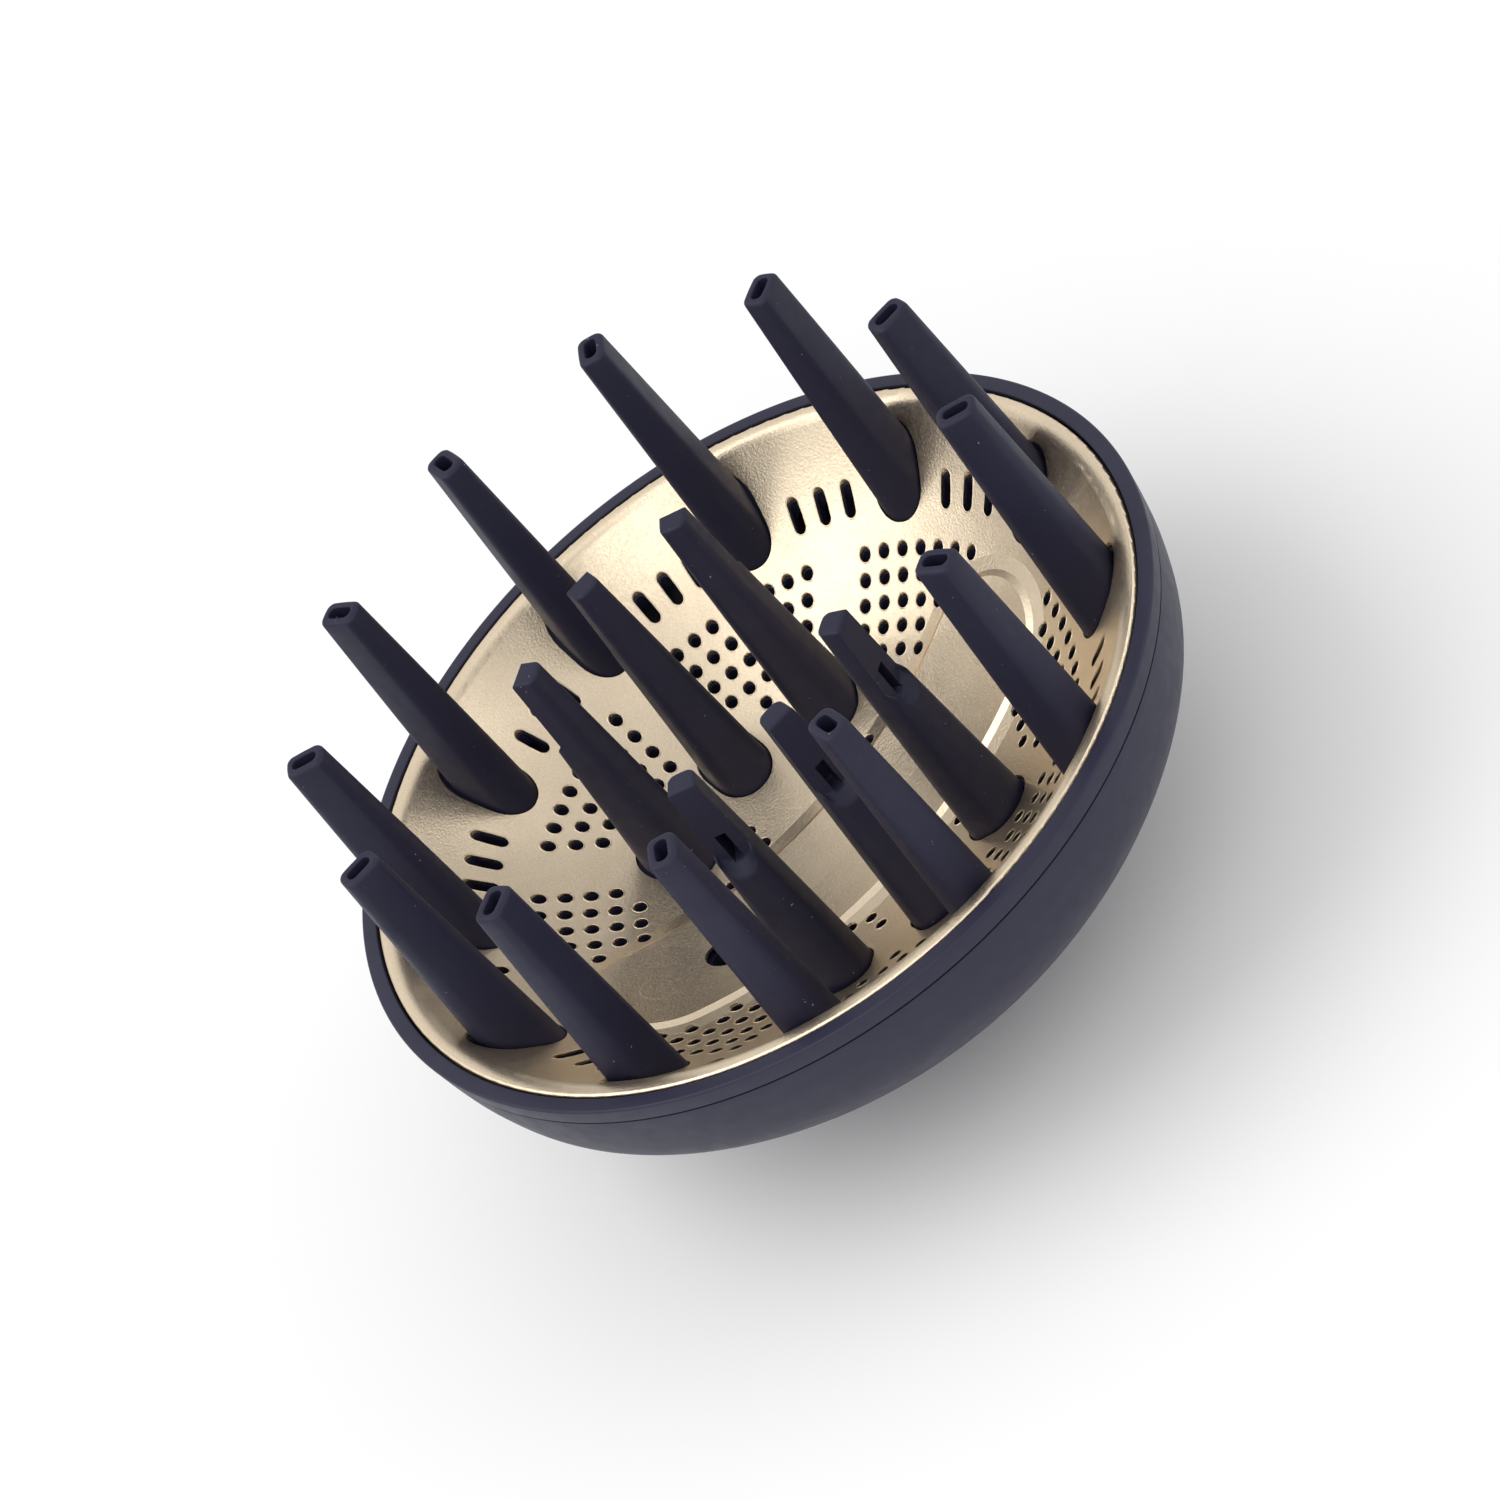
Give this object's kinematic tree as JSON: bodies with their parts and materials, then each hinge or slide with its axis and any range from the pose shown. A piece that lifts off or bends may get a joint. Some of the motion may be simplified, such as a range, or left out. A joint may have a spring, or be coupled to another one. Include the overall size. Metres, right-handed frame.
{
  "type": "hair dryer diffuser",
  "caption": "Round bowl diffuser with a perforated metal dish, a raised bar, rings of hollow upright prongs and a push-on rear neck.",
  "frame": {"origin": "centre of the rear face of the neck, which is the lowest face of the part", "axes": "+Z along the neck axis towards the prong tips, +X along the raised bar away from the port hole, +Y across the bar"},
  "size_m": [0.146, 0.146, 0.0909],
  "materials": {
    "navy_shell": "soft-touch matte",
    "navy_moulding": "matte, fine moulded grain",
    "champagne_dish": "satin champagne gold, fine bead-blasted grain",
    "sleeve_rubber": "matte"
  },
  "bodies": {
    "root": {"rear_bowl": "navy_shell", "trim_ring": "navy_shell", "face_dish": "champagne_dish", "prong_carrier": "navy_moulding", "neck_sleeve": "sleeve_rubber", "outer_prong_01": "navy_moulding", "outer_prong_02": "navy_moulding", "outer_prong_03": "navy_moulding", "outer_prong_04": "navy_moulding", "outer_prong_05": "navy_moulding", "outer_prong_06": "navy_moulding", "outer_prong_07": "navy_moulding", "outer_prong_08": "navy_moulding", "outer_prong_09": "navy_moulding", "outer_prong_10": "navy_moulding", "outer_prong_11": "navy_moulding", "outer_prong_12": "navy_moulding", "inner_prong_01": "navy_moulding", "inner_prong_02": "navy_moulding", "inner_prong_03": "navy_moulding", "inner_prong_04": "navy_moulding", "inner_prong_05": "navy_moulding", "inner_prong_06": "navy_moulding"}
  },
  "joints": []
}
